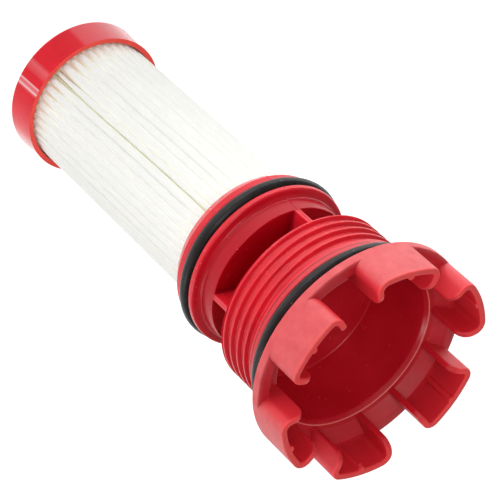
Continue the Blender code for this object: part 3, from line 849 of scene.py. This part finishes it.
def head_plastic():
    """Red plastic: textured and matte on the grip and land, smooth and shiny on neck and cup."""
    shader = Shader("head_plastic")
    height, radius = shader.height(), shader.radius()
    above_land = shader.ranged(height, 0.0, 1.0, THREAD_TOP_Z, LAND_Z)
    beyond_cup = shader.ranged(radius, 0.0, 1.0, CUP_MOUTH_RADIUS + 0.1 * MM, CUP_MOUTH_RADIUS + 0.5 * MM)
    grip = shader.math('MULTIPLY', above_land, beyond_cup)

    clouds = shader.ranged(shader.noise(9 * MM, 3.0), 0.0, 1.0)
    colour = shader.mixed(clouds, (0.57, 0.008, 0.020), (0.65, 0.012, 0.027))
    # painted sheen: a pale pink haze mixed into the grip and land colour
    colour = shader.mixed(shader.math('MULTIPLY', grip, 0.3), colour, (0.6, 0.03, 0.04))

    # painted pink sheen on the outer faces, mottled
    outside = shader.ranged(radius, 0.0, 1.0, RIM_RADIUS - 1.4 * MM, RIM_RADIUS - 0.4 * MM)
    sheen_mottle = shader.ranged(shader.noise(2.5 * MM, 4.0), 0.0, 1.0)
    colour = shader.mixed(outside, colour, shader.mixed(sheen_mottle, (0.55, 0.045, 0.055), (0.62, 0.075, 0.08)))

    # painted shade: a fine dark line round the land
    outside_cup = shader.ranged(radius, 0.0, 1.0, THREAD_RADIUS - 0.4 * MM, THREAD_RADIUS - 0.3 * MM)
    at_line = shader.band(height, LAND_LINE_Z, LAND_LINE_WIDTH)
    colour = shader.mixed(shader.math('MULTIPLY', at_line, outside_cup), colour, (0.16, 0.001, 0.004))

    # painted highlight: a light line at the cup's mouth
    at_shelf = shader.band(height, SHELF_Z, 0.4 * MM)
    at_mouth = shader.band(radius, CUP_MOUTH_RADIUS, 0.22 * MM)
    colour = shader.mixed(shader.math('MULTIPLY', at_mouth, at_shelf), colour, (1.0, 0.30, 0.26))

    # painted light: lighter lug tips, and a painted red glow for the light that comes through the lugs
    at_tip = shader.ranged(height, 0.0, 0.6, TIP_Z - 0.8 * MM, TIP_Z - 0.1 * MM)
    colour = shader.mixed(at_tip, colour, (0.85, 0.09, 0.08))
    lug_inside = shader.ranged(radius, 1.0, 0.0, RIM_RADIUS - 1.4 * MM, RIM_RADIUS - 0.6 * MM)
    lit_through = shader.ranged(height, 0.0, LUG_GLOW, RIM_TOP_Z, TIP_Z)
    lit_through = shader.math('MULTIPLY', lit_through, lug_inside)
    glow = shader.math('ADD', lit_through, shader.math('MULTIPLY', at_tip, 0.1))
    shader.link(glow, shader.principled.inputs["Emission Strength"])

    # painted shade: darker inside the neck and on its tube face
    in_neck = shader.ranged(height, 1.0, 0.0, NECK_TOP_Z, NECK_TOP_Z + MM)
    inwards = shader.ranged(radius, 1.0, 0.0, 15 * MM, NECK_RIM_BORE - 0.2 * MM)
    colour = shader.mixed(shader.math('MULTIPLY', in_neck, inwards), colour, (0.26, 0.002, 0.006))
    above_lip = shader.ranged(height, 0.0, 0.75, NECK_VALLEY_Z - 0.5 * MM, NECK_VALLEY_Z + 0.8 * MM)
    tube_face = shader.math('MULTIPLY', in_neck, above_lip)
    colour = shader.mixed(tube_face, colour, (0.34, 0.001, 0.008))
    # pale specks all over
    colour = shader.mixed(shader.specks(1.7 * MM, 0.07 * MM, 0.3), colour, (0.95, 0.5, 0.47))

    grain = shader.noise(0.35 * MM, 2.0)
    shader.bump(shader.math('MULTIPLY', grain, shader.math('ADD', grip, 0.3)), 0.014 * MM)
    shader.bump(shader.noise(6 * MM, 2.0), 0.02 * MM)
    roughness = shader.ranged(shader.noise(3 * MM, 4.0), 0.2, 0.28)
    roughness = shader.math('ADD', roughness, shader.math('MULTIPLY', grip, 0.28))
    shine = shader.ranged(height, 0.34, 0.5, THREAD_TOP_Z, LAND_Z)
    shine = shader.math('ADD', shader.math('MULTIPLY', tube_face, -0.2), shine)
    shader.link(shine, shader.principled.inputs["Specular IOR Level"])
    return shader.finish(colour, roughness, {
        "Subsurface Weight": 0.3, "Subsurface Scale": 1.5 * MM, "Subsurface Radius": (1.0, 0.12, 0.1),
        "Emission Color": (1.0, 0.0, 0.01, 1.0)})


def cap_gloss():
    """Glossy red with painted reflections of the studio: soft white stripes up its side, each at its own
    azimuth.
    """
    shader = Shader("end_cap_gloss")
    clouds = shader.ranged(shader.noise(7 * MM, 2.0), 0.0, 1.0)
    colour = shader.mixed(clouds, (0.61, 0.001, 0.012), (0.69, 0.003, 0.018))
    ramp = shader.tree.nodes.new("ShaderNodeValToRGB")
    shader.link(shader.ranged(shader.azimuth(), 0.0, 1.0, *CAP_REFLECTION_RANGE), ramp.inputs["Fac"])
    stops = ramp.color_ramp.elements
    while len(stops) < len(CAP_REFLECTIONS):
        stops.new(1.0)
    first, last = CAP_REFLECTION_RANGE
    for stop, (degrees, share) in zip(stops, CAP_REFLECTIONS):
        stop.position = (math.radians(degrees) - first) / (last - first)
        stop.color = (share, share, share, 1.0)
    colour = shader.mixed(ramp.outputs["Color"], colour, (0.86, 0.80, 0.82))
    shader.bump(shader.noise(9 * MM, 1.0), 0.03 * MM)
    roughness = shader.ranged(shader.noise(2 * MM, 4.0), 0.05, 0.12)
    return shader.finish(colour, roughness, {"Specular IOR Level": 0.15})


def cap_matte():
    """The end cap's plain rim, which looks lighter than its glossy side, with a faint painted glow."""
    shader = Shader("end_cap_rim")
    clouds = shader.ranged(shader.noise(3 * MM, 3.0), 0.0, 1.0)
    colour = shader.mixed(clouds, (0.85, 0.06, 0.045), (0.92, 0.08, 0.055))
    shader.bump(shader.noise(0.3 * MM, 3.0), 0.01 * MM)
    roughness = shader.ranged(shader.noise(1 * MM, 3.0), 0.5, 0.65)
    # painted glow on the rim
    return shader.finish(colour, roughness, {
        "Emission Color": (1.0, 0.07, 0.05, 1.0), "Emission Strength": 0.12})


def seal_rubber():
    """Black rubber with a soft sheen and a few specks of dust."""
    shader = Shader("seal_rubber")
    clouds = shader.ranged(shader.noise(4 * MM, 4.0), 0.0, 1.0)
    colour = shader.mixed(clouds, (0.009, 0.008, 0.008), (0.02, 0.018, 0.018))
    colour = shader.mixed(shader.specks(1.3 * MM, 0.12 * MM, 0.15), colour, (0.25, 0.24, 0.24))
    shader.bump(shader.noise(0.5 * MM, 4.0), 0.012 * MM)
    roughness = shader.ranged(shader.noise(1.5 * MM, 4.0), 0.25, 0.42)
    return shader.finish(colour, roughness, {"Specular IOR Level": 0.22})


def filter_medium():
    """White fibre sheet, warmer in the folds and tan in them near the end cap, with a painted glow in the
    folds.
    """
    shader = Shader("filter_medium")
    height, radius = shader.height(), shader.radius()
    fibres = shader.noise(0.25 * MM, 4.0, stretch=(1.0, 1.0, 0.25))
    colour = shader.mixed(shader.ranged(fibres, 0.0, 1.0), (0.71, 0.71, 0.69), (0.76, 0.76, 0.735))
    in_fold = shader.ranged(radius, 1.0, 0.0, PLEAT_TIP_RADIUS - 0.8 * MM, PLEAT_TIP_RADIUS - 0.2 * MM)
    colour = shader.mixed(in_fold, colour, (0.77, 0.765, 0.69))
    near_cap = shader.ranged(height, 1.0, 0.0, CAP_TOP_Z + MM, CAP_TOP_Z + 5.5 * MM)
    colour = shader.mixed(shader.math('MULTIPLY', in_fold, near_cap), colour, (0.80, 0.71, 0.62))
    # painted glow: the folds give off their own colour as light
    shader.link(colour, shader.principled.inputs["Emission Color"])
    glow = shader.ranged(height, FOLD_GLOW * 0.6, FOLD_GLOW, CAP_TOP_Z + 2 * MM, CAP_TOP_Z + 16 * MM)
    shader.link(shader.math('MULTIPLY', in_fold, glow), shader.principled.inputs["Emission Strength"])
    shader.bump(fibres, 0.02 * MM)
    roughness = shader.ranged(shader.noise(0.5 * MM, 3.0), 0.75, 0.95)
    return shader.finish(colour, roughness, {
        "Subsurface Weight": 0.8, "Subsurface Scale": 2.0 * MM, "Subsurface Radius": (1.0, 0.9, 0.8)})


def cast_adhesive():
    """Yellowish cast adhesive, slightly wavy."""
    shader = Shader("cast_adhesive")
    clouds = shader.ranged(shader.noise(1.6 * MM, 3.0), 0.0, 1.0)
    colour = shader.mixed(clouds, (0.74, 0.75, 0.50), (0.82, 0.82, 0.60))
    shader.bump(shader.noise(0.8 * MM, 2.0), 0.03 * MM)
    roughness = shader.ranged(shader.noise(1.2 * MM, 3.0), 0.3, 0.5)
    return shader.finish(colour, roughness)


def tube_plastic():
    """Off-white plastic of the hidden centre tube."""
    shader = Shader("tube_plastic")
    clouds = shader.ranged(shader.noise(5 * MM, 3.0), 0.0, 1.0)
    colour = shader.mixed(clouds, (0.66, 0.66, 0.62), (0.78, 0.78, 0.74))
    shader.bump(shader.noise(0.4 * MM, 3.0), 0.008 * MM)
    roughness = shader.ranged(shader.noise(1.5 * MM, 3.0), 0.4, 0.55)
    return shader.finish(colour, roughness)


# ---- pieces -------------------------------------------------------------------------

def show(piece, material, node):
    """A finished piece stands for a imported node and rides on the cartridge's one body."""
    if material is not None:
        piece.data.materials.clear()
        piece.data.materials.append(material)
    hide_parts(node)
    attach(piece, "root")


def dress(node, material):
    """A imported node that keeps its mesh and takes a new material."""
    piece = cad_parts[node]
    for material_slot in piece.material_slots:
        material_slot.material = material


rubber = seal_rubber()
adhesive = cast_adhesive()
show(build_head(), head_plastic(), "head_moulding")
show(o_ring("flange_o_ring_fine", FLANGE_RING_LOW, FLANGE_RING_HIGH,
            FLANGE_RING_LEAN, FLANGE_RING_LEAN_AZIMUTH, FLANGE_RING_WAVE),
     rubber, "flange_o_ring")
show(o_ring("neck_o_ring_fine", NECK_RING_LOW, NECK_RING_HIGH,
            NECK_RING_LEAN, NECK_RING_LEAN_AZIMUTH, NECK_RING_WAVE),
     rubber, "neck_o_ring")
show(build_medium(), filter_medium(), "pleated_medium")
show(build_seam_bead(), adhesive, "seam_bead")
show(build_end_cap(cap_gloss(), cap_matte()), None, "end_cap")
dress("centre_tube", tube_plastic())
dress("end_potting", adhesive)
dress("neck_potting", adhesive)


# ---- stage: camera, floor and light -------------------------------------------------

CAMERA_AZIMUTH = math.radians(226.3)
CAMERA_ELEVATION = math.radians(39.1)
AXIS_SLOPE = math.radians(43.0)            # how far below level the axis runs in the picture
CAMERA_LENS = 165.6
CAMERA_DISTANCE = 0.5937
AIM = Vector((0.0, 0.0, 0.08615))
FLOOR_GLOW = 0.9
BRIGHT_FLOOR_GLOW = 1.8                    # added over a stretch of floor off to one side
BRIGHT_FLOOR_AZIMUTH = CAMERA_AZIMUTH - math.radians(60.0)
BRIGHT_FLOOR_NEAR = (0.10, 0.22)           # metres from the axis over which that stretch begins
BRIGHT_FLOOR_FAR = (0.8, 1.0)              # and over which it ends
FLOOR_HALF = 4.0
WORLD_LIGHT = 0.31
# name, degrees round from the camera, degrees up, then distance, width, height and power
SOFTBOXES = (
    ("key", -28.0, 4.0, 0.9, 0.5, 0.35, 0.85),
    ("front", -5.0, 50.0, 1.0, 0.5, 0.5, 2.8),
    ("fill", 75.0, 12.0, 1.1, 0.5, 0.5, 2.6),
    ("back", 180.0, 8.0, 1.2, 0.6, 0.4, 1.0),
)


def camera_axes():
    """Right, up and back of a camera that sees the cartridge's axis run down to the right."""
    azimuth, elevation = CAMERA_AZIMUTH, CAMERA_ELEVATION
    back = Vector((*polar(math.cos(elevation), azimuth), math.sin(elevation)))
    axis = Vector((0.0, 0.0, 1.0))
    shown = (axis - back * axis.dot(back)).normalized()
    side = back.cross(shown)
    right = shown * math.cos(AXIS_SLOPE) + side * math.sin(AXIS_SLOPE)
    up = side * math.cos(AXIS_SLOPE) - shown * math.sin(AXIS_SLOPE)
    return right, up, back


def make_camera():
    """The camera at the picture's viewing angle."""
    data = bpy.data.cameras.new("camera")
    data.lens = CAMERA_LENS
    data.sensor_width = 36.0
    camera = bpy.data.objects.new("camera", data)
    right, up, back = camera_axes()
    turn = Matrix((right, up, back)).transposed()
    camera.matrix_world = Matrix.Translation(AIM + back * CAMERA_DISTANCE) @ turn.to_4x4()
    data.clip_start = 0.01
    data.clip_end = 20.0
    bpy.context.scene.collection.objects.link(camera)
    bpy.context.scene.camera = camera


def softbox(name, azimuth, elevation, distance, width, height, power):
    """An area light that faces the cartridge's middle."""
    data = bpy.data.lights.new(name, 'AREA')
    data.shape = 'RECTANGLE'
    data.size = width
    data.size_y = height
    data.energy = power
    light = bpy.data.objects.new(name, data)
    direction = Vector((*polar(math.cos(elevation), azimuth), math.sin(elevation)))
    light.location = AIM + direction * distance
    light.rotation_mode = 'QUATERNION'
    light.rotation_quaternion = (-direction).to_track_quat('-Z', 'Y')
    bpy.context.scene.collection.objects.link(light)


def make_floor():
    """A pale floor that glows a little, so that it looks white, and more off to one side."""
    mesh = bpy.data.meshes.new("floor")
    half = FLOOR_HALF
    mesh.from_pydata([(-half, -half, 0.0), (half, -half, 0.0), (half, half, 0.0), (-half, half, 0.0)],
                     [], [[0, 1, 2, 3]])
    floor = bpy.data.objects.new("floor", mesh)
    floor.location.z = CAP_LOW.z - 0.2 * MM
    bpy.context.scene.collection.objects.link(floor)
    shader = Shader("floor_paint")
    clouds = shader.ranged(shader.noise(0.4, 2.0), 0.0, 1.0)
    colour = shader.mixed(clouds, (0.60, 0.60, 0.60), (0.62, 0.62, 0.62))
    roughness = shader.ranged(shader.noise(0.1, 2.0), 0.85, 0.95)
    along = shader.tree.nodes.new("ShaderNodeVectorMath")
    along.operation = 'DOT_PRODUCT'
    along.inputs[1].default_value = (*polar(1.0, BRIGHT_FLOOR_AZIMUTH), 0.0)
    shader.link(shader.place, along.inputs[0])
    near_end = shader.ranged(along.outputs["Value"], 0.0, BRIGHT_FLOOR_GLOW, *BRIGHT_FLOOR_NEAR)
    far_end = shader.ranged(along.outputs["Value"], 1.0, 0.0, *BRIGHT_FLOOR_FAR)
    glow = shader.math('ADD', shader.math('MULTIPLY', near_end, far_end), FLOOR_GLOW)
    shader.link(glow, shader.principled.inputs["Emission Strength"])
    material = shader.finish(colour, roughness, {
        "Specular IOR Level": 0.0, "Emission Color": (1.0, 1.0, 1.0, 1.0)})
    mesh.materials.append(material)


def make_world():
    """Plain white light from all round."""
    world = bpy.data.worlds.new("studio")
    world.use_nodes = True
    background = world.node_tree.nodes["Background"]
    background.inputs["Color"].default_value = (1.0, 1.0, 1.0, 1.0)
    background.inputs["Strength"].default_value = WORLD_LIGHT
    bpy.context.scene.world = world


make_camera()
make_floor()
make_world()
for box_name, turn_degrees, rise_degrees, *box in SOFTBOXES:
    softbox(box_name, CAMERA_AZIMUTH + math.radians(turn_degrees), math.radians(rise_degrees), *box)
bpy.context.scene.view_settings.view_transform = 'Standard'
